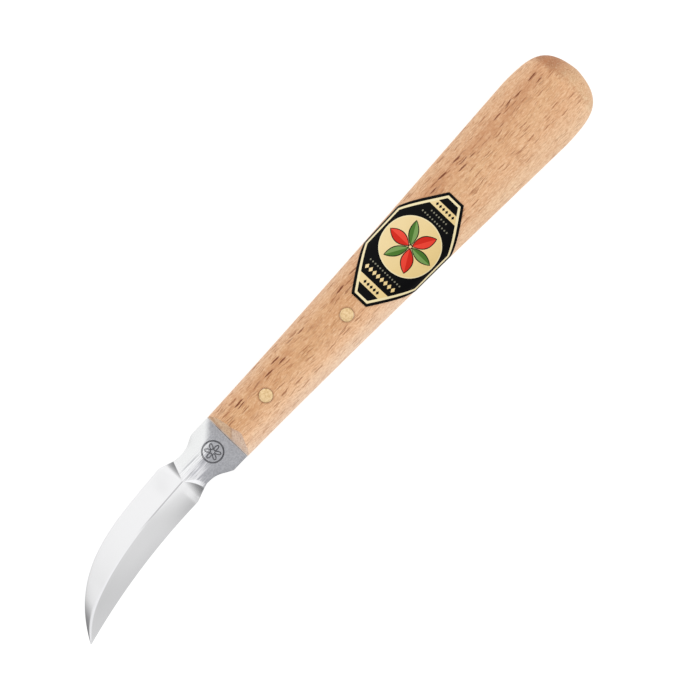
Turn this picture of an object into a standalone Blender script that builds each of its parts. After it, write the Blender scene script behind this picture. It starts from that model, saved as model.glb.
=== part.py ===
"""Chip carving knife: a forged blade whose full-width tang is pinned into a slotted beech handle.

Metres. +X runs from the butt to the blade tip, +Z is up out of the labelled side, and z = 0 is
the flat underside of the handle. x = 0 is half way along the knife.
"""
from math import cos, pi, radians, sin

import bmesh
import bpy
import numpy as np
from mathutils import Vector
from mathutils.geometry import interpolate_bezier

MM = 0.001

# Overall sizes
TOTAL_LENGTH = 165.0 * MM
HANDLE_LENGTH = 111.2 * MM
HANDLE_THICKNESS = 11.0 * MM
STEEL_THICKNESS = 3.0 * MM
FIT_GAP = 0.1 * MM

TIP_X = TOTAL_LENGTH / 2
BUTT_X = -TOTAL_LENGTH / 2
FRONT_X = BUTT_X + HANDLE_LENGTH
MID_Z = HANDLE_THICKNESS / 2
SLOT_HALF = STEEL_THICKNESS / 2 + FIT_GAP

# Handle: half-width as two Bezier runs of (distance behind the front, half-width)
SIDE_RUN = ((0.0, 6.12), (32.7, 6.8), (65.3, 8.3), (98.0, 9.74))
BUTT_RUN = ((98.0, 9.74), (106.0, 9.6), (110.4, 9.2), (111.2, 0.0))
BUTT_CROWN = 6.0 * MM
SHOULDER_LENGTH = 14.0 * MM
CORNER_WIDTH = 5.7 * MM
MOST_CORNER_SHARE = 0.9
SIDE_FLAT_HALF = 1.5 * MM
BEVEL_DEPTH = 2.7 * MM
BLANK_NOSE = 3.0 * MM
HANDLE_STATIONS = 13
SHOULDER_STATIONS = 5
CROWN_STEPS = 9
CORNER_STEPS = 8

# Blade and neck outlines, in millimetres ahead of the handle's front and across
BACK_CURVE = ((15.5, -6.18), (31.0, -5.1), (45.0, -5.57), (53.8, 9.8))
EDGE_CURVE = ((14.8, 5.12), (28.0, 5.13), (41.0, 6.63), (53.8, 9.8))
RIDGE_CURVE = ((13.9, -0.35), (24.2, -0.13), (47.0, 0.7), (53.8, 9.8))
BACK_NECK = ((4.8, -6.15), (6.5, -6.05), (6.85, -4.55), (10.6, -4.68))
EDGE_NECK = ((4.3, 6.04), (6.9, 4.75), (7.1, 3.8), (10.6, 3.76))
BACK_CORNER = (12.1, -4.9)
EDGE_CORNER = (11.6, 4.05)
PLUNGE_BOW = 0.45 * MM
PLUNGE_STEPS = 4
SPINE_HALF = 0.3 * MM
TAPER_POWER = 4
NECK_STATIONS = 10
BLADE_STATIONS = 22
TIP_CROWDING = 1.35
FACE_STEPS = 4

TANG_LENGTH = 47.0 * MM
TANG_INSET = 0.03 * MM
TANG_STATIONS = 8
SLOT_LENGTH = TANG_LENGTH + 0.3 * MM

# Pins: (name, distance behind the handle's front, offset across)
PIN_RADIUS = 1.55 * MM
PIN_CHAMFER = 0.12 * MM
PIN_SEGMENTS = 40
PINS = (("pin_front", 12.4 * MM, -0.15 * MM), ("pin_rear", 37.4 * MM, 0.5 * MM))

# Label: an octagon measured flat, before it is wrapped over the handle
LABEL_X = FRONT_X - 56.9 * MM
LABEL_SHIFT = 0.3 * MM
LABEL_SKEW = 0.0095
LABEL_HALF_LENGTH = 15.4 * MM
LABEL_HALF_WIDTH = 8.8 * MM
LABEL_SHOULDER = 5.4 * MM
LABEL_END_HALF = 2.17 * MM
LABEL_THICKNESS = 0.12 * MM
LABEL_GLUE = 0.09 * MM
LABEL_END_ROWS = 7
LABEL_MIDDLE_ROWS = 6
LABEL_COLUMNS = 24
SKIN_STEPS = 24
SKIN_REACH = 0.2 * MM

MERGE = 1e-7
SMOOTH_ANGLE = radians(28)


def clear_scene():
    for old in list(bpy.data.objects):
        bpy.data.objects.remove(old, do_unlink=True)


def make_material(name, colour, roughness, metallic):
    material = bpy.data.materials.new(name)
    material.use_nodes = True
    shader = material.node_tree.nodes["Principled BSDF"]
    shader.inputs["Base Color"].default_value = (*colour, 1.0)
    shader.inputs["Roughness"].default_value = roughness
    shader.inputs["Metallic"].default_value = metallic
    return material


def make_object(name, bm, material=None):
    """Turn a bmesh into a scene object, clean and shaded smooth between its sharp edges."""
    bmesh.ops.remove_doubles(bm, verts=bm.verts, dist=MERGE)
    bmesh.ops.dissolve_degenerate(bm, edges=bm.edges, dist=MERGE)
    bmesh.ops.recalc_face_normals(bm, faces=bm.faces)
    mesh = bpy.data.meshes.new(name)
    bm.to_mesh(mesh)
    bm.free()
    mesh.shade_smooth()
    mesh.set_sharp_from_angle(angle=SMOOTH_ANGLE)
    if material:
        mesh.materials.append(material)
    made = bpy.data.objects.new(name, mesh)
    bpy.context.scene.collection.objects.link(made)
    return made


def make_cutter(name, bm):
    cutter = make_object(name, bm)
    cutter.hide_render = True
    cutter.display_type = "WIRE"
    return cutter


def cut(target, cutter):
    modifier = target.modifiers.new(cutter.name, "BOOLEAN")
    modifier.operation = "DIFFERENCE"
    modifier.object = cutter


def curve_through(run, steps=80):
    """Sample a Bezier run given in millimetres and return its two coordinates as arrays of metres."""
    start, start_handle, end_handle, end = (Vector((*point, 0.0)) * MM for point in run)
    samples = interpolate_bezier(start, start_handle, end_handle, end, steps)
    return np.array([p.x for p in samples]), np.array([p.y for p in samples])


def read_curve(curve, at):
    return float(np.interp(at, *curve))


def loft(bm, sections):
    """Skin closed sections of equal point counts, in order, and cap the first and the last."""
    rings = [[bm.verts.new(point) for point in section] for section in sections]
    for ring, following in zip(rings, rings[1:]):
        for i, vert in enumerate(ring):
            j = (i + 1) % len(ring)
            bm.faces.new((vert, ring[j], following[j], following[i]))
    bm.faces.new(rings[0])
    bm.faces.new(rings[-1])


# The handle's section is a flat oval: flats above and below, elliptical corners and a narrow
# straight strip down each side where it meets the tang.

side_curve = curve_through(SIDE_RUN)
butt_curve = curve_through(BUTT_RUN)


def handle_half_width(x):
    behind = FRONT_X - x
    if behind <= side_curve[0][-1]:
        return read_curve(side_curve, behind)
    return read_curve(butt_curve, behind)


def handle_half_height(x):
    into_crown = 1 - (x - BUTT_X) / BUTT_CROWN
    if into_crown <= 0:
        return MID_Z
    return MID_Z * max(1 - into_crown ** 2, 0.0) ** 0.5


def handle_quarter(x, steps):
    """(y, z above the mid-plane) from the top of the side strip round to the edge of the top flat."""
    half_width = handle_half_width(x)
    half_height = handle_half_height(x)
    corner_width = min(CORNER_WIDTH, MOST_CORNER_SHARE * half_width)
    side_flat = SIDE_FLAT_HALF * half_height / MID_Z
    points = []
    for i in range(steps + 1):
        turn = pi / 2 * i / steps
        y = half_width - corner_width * (1 - cos(turn))
        points.append((y, side_flat + (half_height - side_flat) * sin(turn)))
    return points


def handle_section(x):
    quarter = handle_quarter(x, CORNER_STEPS)
    half = quarter + [(-y, z) for y, z in reversed(quarter)]
    loop = half + [(-y, -z) for y, z in half]
    return [Vector((x, y, MID_Z + z)) for y, z in loop]


def handle_skin(x, across):
    """Point and outward direction on the top of the handle, at an arc length from its centre line."""
    over = np.array([(0.0, MID_Z)] + handle_quarter(x, SKIN_STEPS)[::-1])
    steps = np.hypot(*np.diff(over, axis=0).T)
    lengths = np.concatenate([[0.0], np.cumsum(steps)])
    side = -1 if across < 0 else 1
    near, on = (
        Vector([float(np.interp(arc, lengths, over[:, axis])) for axis in (0, 1)])
        for arc in (abs(across), abs(across) + SKIN_REACH)
    )
    outward = Vector((0.0, side * (near.y - on.y), on.x - near.x)).normalized()
    return Vector((x, side * near.x, MID_Z + near.y)), outward


def trim(bm, point, normal):
    """Cut away what lies on the normal's side of a plane and close the cut."""
    everything = bm.verts[:] + bm.edges[:] + bm.faces[:]
    result = bmesh.ops.bisect_plane(
        bm, geom=everything, plane_co=point, plane_no=normal, clear_outer=True, dist=MERGE
    )
    rim = [item for item in result["geom_cut"] if isinstance(item, bmesh.types.BMEdge)]
    bmesh.ops.edgeloop_fill(bm, edges=rim)


def pin_place(behind, across, z):
    return Vector((FRONT_X - behind, across, z))


def make_round(bm, radius, length, centre):
    """A plain upright cylinder about a centre."""
    made = bmesh.ops.create_cone(
        bm,
        cap_ends=True,
        segments=PIN_SEGMENTS,
        radius1=radius,
        radius2=radius,
        depth=length,
    )
    bmesh.ops.translate(bm, verts=made["verts"], vec=centre)


def make_slot_cutter():
    """The saw slot for the tang, open to the front and to both sides."""
    bm = bmesh.new()
    length = SLOT_LENGTH + 2 * BLANK_NOSE
    made = bmesh.ops.create_cube(bm, size=1.0)
    bmesh.ops.scale(bm, verts=made["verts"], vec=(length, 4 * MID_Z, 2 * SLOT_HALF))
    centre = (FRONT_X - SLOT_LENGTH + length / 2, 0.0, MID_Z)
    bmesh.ops.translate(bm, verts=made["verts"], vec=centre)
    return make_cutter("cutter_slot", bm)


def make_hole_cutter(name, behind, across):
    bm = bmesh.new()
    make_round(bm, PIN_RADIUS + FIT_GAP, 2 * HANDLE_THICKNESS, pin_place(behind, across, MID_Z))
    return make_cutter(f"cutter_{name}", bm)


def make_handle(cutters):
    """One piece of beech: flat oval, crowned butt, front end bevelled down to the steel."""
    crown_start = BUTT_X + BUTT_CROWN
    shoulder_start = BUTT_X + SHOULDER_LENGTH
    stations = list(np.linspace(FRONT_X + BLANK_NOSE, shoulder_start, HANDLE_STATIONS))
    stations += list(np.linspace(shoulder_start, crown_start, SHOULDER_STATIONS))[1:]
    for i in range(1, CROWN_STEPS + 1):
        stations.append(BUTT_X + BUTT_CROWN * (1 - sin(pi / 2 * i / CROWN_STEPS)))
    bm = bmesh.new()
    loft(bm, [handle_section(x) for x in stations])
    bevel_height = MID_Z - SLOT_HALF
    for side in (1, -1):
        point = Vector((FRONT_X, 0.0, MID_Z + side * SLOT_HALF))
        trim(bm, point, Vector((bevel_height, 0.0, side * BEVEL_DEPTH)))
    beech = make_material("beech", (0.71, 0.44, 0.27), 0.55, 0.0)
    handle = make_object("handle", bm, beech)
    for cutter in cutters:
        cut(handle, cutter)


# The blade is lofted from the tang to the tip. Each section runs over the top from the cutting
# edge to the back, through the ridge, and returns underneath.

back_curve = curve_through(BACK_CURVE)
edge_curve = curve_through(EDGE_CURVE)
ridge_curve = curve_through(RIDGE_CURVE)
back_neck = curve_through(BACK_NECK)
edge_neck = curve_through(EDGE_NECK)
STEEL_HALF = STEEL_THICKNESS / 2


def steel_section(edge, ridge, back):
    """Closed section through (x, y, half-thickness) at the edge, the ridge and the back."""
    over = [Vector(edge).lerp(Vector(ridge), i / FACE_STEPS) for i in range(FACE_STEPS)]
    over += [Vector(ridge).lerp(Vector(back), i / FACE_STEPS) for i in range(FACE_STEPS + 1)]
    top = [Vector((FRONT_X + x, y, MID_Z + z)) for x, y, z in over]
    bottom = [Vector((FRONT_X + x, y, MID_Z - z)) for x, y, z in reversed(over)]
    return top + bottom


def plate_section(ahead, edge_y, back_y):
    ridge_y = (edge_y + back_y) / 2
    ends = ((ahead, edge_y, STEEL_HALF), (ahead, ridge_y, STEEL_HALF), (ahead, back_y, STEEL_HALF))
    return steel_section(*ends)


def tang_sections():
    sections = []
    for ahead in np.linspace(-TANG_LENGTH, 0.0, TANG_STATIONS):
        half = handle_half_width(FRONT_X + ahead) - TANG_INSET
        sections.append(plate_section(ahead, half, -half))
    return sections


def neck_sections():
    start = EDGE_NECK[0][0] * MM
    end = EDGE_NECK[-1][0] * MM
    sections = []
    for ahead in np.linspace(start, end, NECK_STATIONS):
        edge_y = read_curve(edge_neck, ahead)
        back_y = read_curve(back_neck, ahead)
        sections.append(plate_section(ahead, edge_y, back_y))
    return sections


def plunge_sections():
    """The wall where the grind starts: full thickness at the neck, hollowed down to the bevels."""
    ridge = Vector((RIDGE_CURVE[0][0] * MM, RIDGE_CURVE[0][1] * MM, STEEL_HALF))
    neck_edge = Vector((EDGE_CORNER[0] * MM, EDGE_CORNER[1] * MM, STEEL_HALF))
    neck_back = Vector((BACK_CORNER[0] * MM, BACK_CORNER[1] * MM, STEEL_HALF))
    blade_edge = Vector((EDGE_CURVE[0][0] * MM, EDGE_CURVE[0][1] * MM, 0.0))
    blade_back = Vector((BACK_CURVE[0][0] * MM, BACK_CURVE[0][1] * MM, SPINE_HALF))
    sections = []
    for step in range(PLUNGE_STEPS + 1):
        along = step / PLUNGE_STEPS
        down = sin(along * pi / 2)
        ends = []
        for start, end in ((neck_edge, blade_edge), (neck_back, blade_back)):
            end_point = start.lerp(end, along)
            end_point.z = start.z + (end.z - start.z) * down
            ends.append(end_point)
        sections.append(bowed(steel_section(ends[0], ridge, ends[1]), 1 - along))
    return sections


def bowed(section, share):
    """Carry the middle of the line's cutting-edge half back, so that half is a shallow arc."""
    steps = 2 * FACE_STEPS
    for i, point in enumerate(section):
        place = i if i <= steps else 2 * steps + 1 - i
        across = min(place / FACE_STEPS, 1.0)
        point.x -= 4 * PLUNGE_BOW * share * across * (1 - across)
    return section


def ground_sections():
    """The diamond section, tapering from the plunge to the tip."""
    start = RIDGE_CURVE[0][0] * MM
    length = TIP_X - FRONT_X - start
    sections = []
    for step in range(1, BLADE_STATIONS + 1):
        share = step / BLADE_STATIONS
        ahead = start + length * (1 - (1 - share) ** TIP_CROWDING)
        left = 1 - ((ahead - start) / length) ** TAPER_POWER
        edge = (ahead, read_curve(edge_curve, ahead), 0.0)
        ridge = (ahead, read_curve(ridge_curve, ahead), STEEL_HALF * left)
        back = (ahead, read_curve(back_curve, ahead), SPINE_HALF * left)
        sections.append(steel_section(edge, ridge, back))
    return sections


def make_blade(cutters):
    """One forging: tang, shoulder, neck and ground blade."""
    bm = bmesh.new()
    loft(bm, tang_sections() + neck_sections() + plunge_sections() + ground_sections())
    steel = make_material("tool_steel", (0.62, 0.63, 0.65), 0.28, 1.0)
    blade = make_object("blade", bm, steel)
    for cutter in cutters:
        cut(blade, cutter)


def make_pin(name, behind, across, brass):
    """A brass pin through wood and tang, its ends filed flush with the handle's flats."""
    bm = bmesh.new()
    make_round(bm, PIN_RADIUS, HANDLE_THICKNESS, pin_place(behind, across, MID_Z))
    rims = [edge for edge in bm.edges if edge.verts[0].co.z == edge.verts[1].co.z]
    bmesh.ops.bevel(bm, geom=rims, offset=PIN_CHAMFER, segments=1, affect="EDGES")
    make_object(name, bm, brass)


def label_half_width(along):
    """Half the flat label's width at a distance from its middle."""
    slope = (LABEL_HALF_WIDTH - LABEL_END_HALF) / (LABEL_HALF_LENGTH - LABEL_SHOULDER)
    return min(LABEL_HALF_WIDTH, LABEL_END_HALF + slope * (LABEL_HALF_LENGTH - abs(along)))


def make_label():
    """A foil label: a flat octagon wrapped over the top of the handle."""
    rows = list(np.linspace(-LABEL_HALF_LENGTH, -LABEL_SHOULDER, LABEL_END_ROWS))
    rows += list(np.linspace(-LABEL_SHOULDER, LABEL_SHOULDER, LABEL_MIDDLE_ROWS))[1:]
    rows += list(np.linspace(LABEL_SHOULDER, LABEL_HALF_LENGTH, LABEL_END_ROWS))[1:]
    bm = bmesh.new()
    grid = []
    for along in rows:
        line = []
        for share in np.linspace(-1, 1, LABEL_COLUMNS + 1):
            across = LABEL_SHIFT - LABEL_SKEW * along + label_half_width(along) * share
            point, outward = handle_skin(LABEL_X + along, across)
            line.append(bm.verts.new(point + outward * LABEL_GLUE))
        grid.append(line)
    for line, following in zip(grid, grid[1:]):
        for i in range(LABEL_COLUMNS):
            bm.faces.new((line[i], line[i + 1], following[i + 1], following[i]))
    foil = make_material("label_foil", (0.02, 0.02, 0.025), 0.35, 0.0)
    label = make_object("label", bm, foil)
    solidify = label.modifiers.new("thickness", "SOLIDIFY")
    solidify.thickness = LABEL_THICKNESS
    solidify.offset = 1.0


def main():
    clear_scene()
    slot = make_slot_cutter()
    holes = [make_hole_cutter(*pin) for pin in PINS]
    make_handle([slot] + holes)
    make_blade(holes)
    brass = make_material("brass", (0.83, 0.68, 0.36), 0.3, 1.0)
    for name, behind, across in PINS:
        make_pin(name, behind, across, brass)
    make_label()


main()
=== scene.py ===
"""Looks of the chip carving knife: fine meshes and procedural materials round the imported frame.

Metres, in the frame's own axes: +X to the blade tip, +Z up out of the labelled side, the floor at z = 0.
"""

from math import cos, exp, hypot, pi, radians, sin

import bmesh
import bpy
import numpy as np
from mathutils import Matrix, Vector
from mathutils.geometry import delaunay_2d_cdt, interpolate_bezier


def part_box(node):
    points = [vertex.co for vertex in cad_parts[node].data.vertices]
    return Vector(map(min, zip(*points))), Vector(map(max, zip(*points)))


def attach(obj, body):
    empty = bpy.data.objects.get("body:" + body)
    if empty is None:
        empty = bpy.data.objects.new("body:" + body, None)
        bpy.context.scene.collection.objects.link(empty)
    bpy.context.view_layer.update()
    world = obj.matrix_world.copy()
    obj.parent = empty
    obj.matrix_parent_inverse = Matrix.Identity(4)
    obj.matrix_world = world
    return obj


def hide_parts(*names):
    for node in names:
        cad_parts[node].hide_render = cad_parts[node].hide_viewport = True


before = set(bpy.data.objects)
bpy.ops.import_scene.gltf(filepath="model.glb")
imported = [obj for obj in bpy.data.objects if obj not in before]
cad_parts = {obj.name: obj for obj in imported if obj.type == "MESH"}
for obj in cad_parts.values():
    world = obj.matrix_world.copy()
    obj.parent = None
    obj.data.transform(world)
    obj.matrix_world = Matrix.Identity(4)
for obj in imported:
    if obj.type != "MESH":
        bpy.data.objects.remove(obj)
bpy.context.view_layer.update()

MM = 0.001

# Places read from the frame
handle_low, handle_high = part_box("handle")
blade_low, blade_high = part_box("blade")
label_low, label_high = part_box("label")
FRONT_X = handle_high.x
BUTT_X = handle_low.x
TIP_X = blade_high.x
MID_Z = (blade_low.z + blade_high.z) / 2
STEEL_HALF = (blade_high.z - blade_low.z) / 2
TANG_LENGTH = FRONT_X - blade_low.x
LABEL_X = (label_low.x + label_high.x) / 2
PIN_NODES = ("pin_front", "pin_rear")

# Outlines, in millimetres: behind the handle's front, or ahead of it, and across
SIDE_RUN = ((0.0, 6.12), (32.7, 6.8), (65.3, 8.3), (98.0, 9.74))
BUTT_RUN = ((98.0, 9.74), (106.0, 9.6), (110.4, 9.2), (111.2, 0.0))
BACK_CURVE = ((15.5, -6.18), (31.0, -5.1), (45.0, -5.57), (53.8, 9.8))
EDGE_CURVE = ((14.8, 5.12), (28.0, 5.13), (41.0, 6.63), (53.8, 9.8))
RIDGE_CURVE = ((13.9, -0.35), (24.2, -0.13), (47.0, 0.7), (53.8, 9.8))
BACK_NECK = ((4.8, -6.15), (6.5, -6.05), (6.85, -4.55), (10.6, -4.68))
EDGE_NECK = ((4.3, 6.04), (6.9, 4.75), (7.1, 3.8), (10.6, 3.76))
BACK_CORNER = (12.1, -4.9)
EDGE_CORNER = (11.6, 4.05)

# Handle section
BUTT_CROWN = 6.0 * MM
CORNER_WIDTH = 5.7 * MM
MOST_CORNER_SHARE = 0.9
SIDE_FLAT_HALF = 1.5 * MM
BEVEL_DEPTH = 2.7 * MM
BEVEL_SHORT = 0.75 * MM
BEVEL_DEEPEST_Y = 1.6 * MM
BEVEL_DEEPEST_WIDE = 1.8 * MM
BLANK_NOSE = 3.0 * MM
FIT = 0.025 * MM
SLOT_HALF = STEEL_HALF + FIT

# Steel
SPINE_HALF = 0.3 * MM
TAPER_POWER = 4
TIP_CROWDING = 1.35
TIP_ROUND_START = 42.5 * MM
TIP_ROUND_LENGTH = 7 * MM
TIP_ROUND = 0.9
PLUNGE_BOW = 0.45 * MM
PLUNGE_EASE = 0.03
PLUNGE_POWER = 2.0
PLUNGE_FOOT = (0.75, 0.68)
HOLLOW_END = (26 * MM, 20 * MM)
NECK_CROWN = 0.3 * MM
CORNER_ROUND = 0.18 * MM
TANG_INSET = 0.03 * MM
RIDGE_ROUND = (0.12 * MM, 0.4 * MM)
FACE_STEPS = 7
ARC_STEPS = 3
MARK_AT = (4.6 * MM, -0.1 * MM)
MARK_RADIUS = 2.4 * MM

# Pins
PIN_RADIUS = 1.55 * MM
PIN_RIM = 0.06 * MM
PIN_DOME = 0.03 * MM
HOLE_RADIUS = 1.58 * MM

MERGE = 1e-7


# ---------------------------------------------------------------- mesh helpers

def shade(mesh, sharp_degrees):
    mesh.shade_smooth()
    mesh.set_sharp_from_angle(angle=radians(sharp_degrees))


def link(name, bm, sharp_degrees=30.0):
    """Make a scene object of a bmesh, cleaned, with its faces turned out."""
    bmesh.ops.remove_doubles(bm, verts=bm.verts, dist=MERGE)
    bmesh.ops.dissolve_degenerate(bm, edges=bm.edges, dist=MERGE)
    bmesh.ops.recalc_face_normals(bm, faces=bm.faces)
    mesh = bpy.data.meshes.new(name)
    bm.to_mesh(mesh)
    bm.free()
    shade(mesh, sharp_degrees)
    made = bpy.data.objects.new(name, mesh)
    bpy.context.scene.collection.objects.link(made)
    return made


def loft(bm, sections):
    """Skin closed sections of equal point counts, in order, and cap the first and the last."""
    rings = [[bm.verts.new(point) for point in section] for section in sections]
    for ring, following in zip(rings, rings[1:]):
        for i, vert in enumerate(ring):
            j = (i + 1) % len(ring)
            bm.faces.new((vert, ring[j], following[j], following[i]))
    bm.faces.new(rings[0])
    bm.faces.new(rings[-1])


def carve(target, cutters, sharp_degrees):
    """Subtract closed cutters from a mesh and leave the plain result, shaded with even normals."""
    for cutter in cutters:
        modifier = target.modifiers.new(cutter.name, "BOOLEAN")
        modifier.operation = "DIFFERENCE"
        modifier.object = cutter
        modifier.solver = "EXACT"
    graph = bpy.context.evaluated_depsgraph_get()
    mesh = bpy.data.meshes.new_from_object(target.evaluated_get(graph))
    target.modifiers.clear()
    old = target.data
    target.data = mesh
    bpy.data.meshes.remove(old)
    mesh.name = target.name
    for cutter in cutters:
        bpy.data.objects.remove(cutter, do_unlink=True)
    mesh.materials.clear()
    shade(mesh, sharp_degrees)
    target.modifiers.new("even_normals", "WEIGHTED_NORMAL").keep_sharp = True


def curve_through(run, steps=160):
    """Sample a Bezier run given in millimetres and return its two coordinates as arrays of metres."""
    start, start_handle, end_handle, end = (Vector((*point, 0.0)) * MM for point in run)
    samples = interpolate_bezier(start, start_handle, end_handle, end, steps)
    return np.array([p.x for p in samples]), np.array([p.y for p in samples])


def read_curve(curve, at):
    return float(np.interp(at, *curve))


def smooth_step(low, high, value):
    share = min(max((value - low) / (high - low), 0.0), 1.0)
    return share * share * (3 - 2 * share)


def own(piece, node):
    """The piece stands for a CAD node, which it hides, and rides with the root body."""
    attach(piece, "root")
    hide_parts(node)


# ---------------------------------------------------------------- node graphs

class Graph:
    """A material's node tree, with one short call for each kind of node used here."""

    def __init__(self, name):
        self.material = bpy.data.materials.new(name)
        self.material.use_nodes = True
        self.tree = self.material.node_tree
        self.shader = self.tree.nodes["Principled BSDF"]
        coordinates = self.tree.nodes.new("ShaderNodeTexCoord")
        self.normal = coordinates.outputs["Normal"]
        self.mm = self.scaled(coordinates.outputs["Object"], (1 / MM, 1 / MM, 1 / MM))

    def feed(self, socket, value):
        if isinstance(value, bpy.types.NodeSocket):
            self.tree.links.new(value, socket)
        elif isinstance(value, tuple) and len(value) == 3 and len(socket.default_value) == 4:
            socket.default_value = (*value, 1.0)
        else:
            socket.default_value = value

    def math(self, operation, first, second=0.0, clamp=False):
        node = self.tree.nodes.new("ShaderNodeMath")
        node.operation = operation
        node.use_clamp = clamp
        self.feed(node.inputs[0], first)
        self.feed(node.inputs[1], second)
        return node.outputs[0]

    def add(self, *values):
        total = values[0]
        for value in values[1:]:
            total = self.math("ADD", total, value)
        return total

    def times(self, *values):
        total = values[0]
        for value in values[1:]:
            total = self.math("MULTIPLY", total, value)
        return total

    def scaled(self, vector, factors):
        node = self.tree.nodes.new("ShaderNodeVectorMath")
        node.operation = "MULTIPLY"
        self.feed(node.inputs[0], vector)
        node.inputs[1].default_value = factors
        return node.outputs[0]

    def moved(self, vector, offset):
        node = self.tree.nodes.new("ShaderNodeVectorMath")
        node.operation = "ADD"
        self.feed(node.inputs[0], vector)
        self.feed(node.inputs[1], offset)
        return node.outputs[0]

    def axis(self, vector, name):
        node = self.tree.nodes.new("ShaderNodeSeparateXYZ")
        self.feed(node.inputs[0], vector)
        return node.outputs[name]

    def combine(self, x, y, z):
        node = self.tree.nodes.new("ShaderNodeCombineXYZ")
        for socket, value in zip(node.inputs, (x, y, z)):
            self.feed(socket, value)
        return node.outputs[0]

    def noise(self, scales, detail=2.0, roughness=0.5, space=None):
        """Noise with a scale per axis, in cycles per millimetre."""
        node = self.tree.nodes.new("ShaderNodeTexNoise")
        self.feed(node.inputs["Vector"], self.scaled(self.mm if space is None else space, scales))
        node.inputs["Scale"].default_value = 1.0
        node.inputs["Detail"].default_value = detail
        node.inputs["Roughness"].default_value = roughness
        return node.outputs["Fac"]

    def cells(self, vector):
        """Voronoi cells: the distance to the nearest point and that point's random colour."""
        node = self.tree.nodes.new("ShaderNodeTexVoronoi")
        self.feed(node.inputs["Vector"], vector)
        node.inputs["Scale"].default_value = 1.0
        return node.outputs["Distance"], node.outputs["Color"]

    def away(self, x, y, centre):
        """Distance from the upright line through a place."""
        along, across = self.add(x, -centre[0]), self.add(y, -centre[1])
        return self.math("SQRT", self.add(self.times(along, along), self.times(across, across)))

    def fade(self, value, low, high, at_low=0.0, at_high=1.0):
        """Smooth step of value from low to high."""
        node = self.tree.nodes.new("ShaderNodeMapRange")
        node.interpolation_type = "SMOOTHSTEP"
        self.feed(node.inputs["Value"], value)
        settings = {"From Min": low, "From Max": high, "To Min": at_low, "To Max": at_high}
        for name, setting in settings.items():
            self.feed(node.inputs[name], setting)
        return node.outputs["Result"]

    def blend(self, factor, first, second):
        """Mix two colours: they are the node's inputs 6 and 7, and its output 2."""
        node = self.tree.nodes.new("ShaderNodeMix")
        node.data_type = "RGBA"
        self.feed(node.inputs["Factor"], factor)
        self.feed(node.inputs[6], first)
        self.feed(node.inputs[7], second)
        return node.outputs[2]

    def ramp(self, value, stops):
        node = self.tree.nodes.new("ShaderNodeValToRGB")
        self.feed(node.inputs[0], value)
        elements = node.color_ramp.elements
        while len(elements) < len(stops):
            elements.new(0.5)
        for element, (place, colour) in zip(elements, stops):
            element.position = place
            element.color = (*colour, 1.0)
        return node.outputs[0]

    def bump(self, height, distance, strength=1.0):
        """Relief of a height in units of distance, in metres."""
        node = self.tree.nodes.new("ShaderNodeBump")
        node.inputs["Strength"].default_value = strength
        node.inputs["Distance"].default_value = distance
        self.feed(node.inputs["Height"], height)
        self.tree.links.new(node.outputs["Normal"], self.shader.inputs["Normal"])

    def set(self, **settings):
        for name, value in settings.items():
            self.feed(self.shader.inputs[name.replace("_", " ")], value)


# ---------------------------------------------------------------- handle

side_curve = curve_through(SIDE_RUN)
butt_curve = curve_through(BUTT_RUN)


def handle_half_width(x):
    behind = FRONT_X - x
    if behind <= side_curve[0][-1]:
        return read_curve(side_curve, behind)
    return read_curve(butt_curve, behind)


def handle_half_height(x):
    into_crown = 1 - (x - BUTT_X) / BUTT_CROWN
    if into_crown <= 0:
        return MID_Z
    return MID_Z * max(1 - into_crown ** 2, 0.0) ** 0.5


def handle_quarter(x, steps):
    """(y, z above the mid-plane) from the top of the side strip round to the edge of the top flat."""
    half_width = handle_half_width(x)
    half_height = handle_half_height(x)
    corner_width = min(CORNER_WIDTH, MOST_CORNER_SHARE * half_width)
    side_flat = SIDE_FLAT_HALF * half_height / MID_Z
    points = []
    for i in range(steps + 1):
        turn = pi / 2 * i / steps
        y = half_width - corner_width * (1 - cos(turn))
        points.append((y, side_flat + (half_height - side_flat) * sin(turn)))
    return points


def handle_section(x, steps):
    quarter = handle_quarter(x, steps)
    flat = quarter[-1][0]
    across = [(flat * share, quarter[-1][1]) for share in (0.5, 0.0, -0.5)]
    half = quarter + across + [(-y, z) for y, z in reversed(quarter)]
    loop = half + [(-y, -z) for y, z in half]
    return [Vector((x, y, MID_Z + z)) for y, z in loop]


def handle_skin(x, across):
    """Point and outward direction on the top of the handle, at an arc length from its centre line."""
    over = np.array([(0.0, MID_Z)] + handle_quarter(x, 32)[::-1])
    steps = np.hypot(*np.diff(over, axis=0).T)
    lengths = np.concatenate([[0.0], np.cumsum(steps)])
    side = -1 if across < 0 else 1
    near, on = (
        Vector([float(np.interp(arc, lengths, over[:, axis])) for axis in (0, 1)])
        for arc in (abs(across), abs(across) + 0.2 * MM)
    )
    outward = Vector((0.0, side * (near.y - on.y), on.x - near.x)).normalized()
    return Vector((x, side * near.x, MID_Z + near.y)), outward


def trim(bm, point, normal):
    """Cut away what lies on the normal's side of a plane and close the cut."""
    everything = bm.verts[:] + bm.edges[:] + bm.faces[:]
    result = bmesh.ops.bisect_plane(
        bm, geom=everything, plane_co=point, plane_no=normal, clear_outer=True, dist=MERGE
    )
    rim = [item for item in result["geom_cut"] if isinstance(item, bmesh.types.BMEdge)]
    bmesh.ops.edgeloop_fill(bm, edges=rim)


def pin_centre(node):
    low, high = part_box(node)
    return (low + high) / 2


def hole_cutters():
    cutters = []
    for node in PIN_NODES:
        bm = bmesh.new()
        made = bmesh.ops.create_cone(
            bm, cap_ends=True, segments=64, radius1=HOLE_RADIUS, radius2=HOLE_RADIUS, depth=5 * MID_Z
        )
        bmesh.ops.translate(bm, verts=made["verts"], vec=pin_centre(node))
        cutters.append(link(f"hole_{node}", bm))
    return cutters


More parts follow.
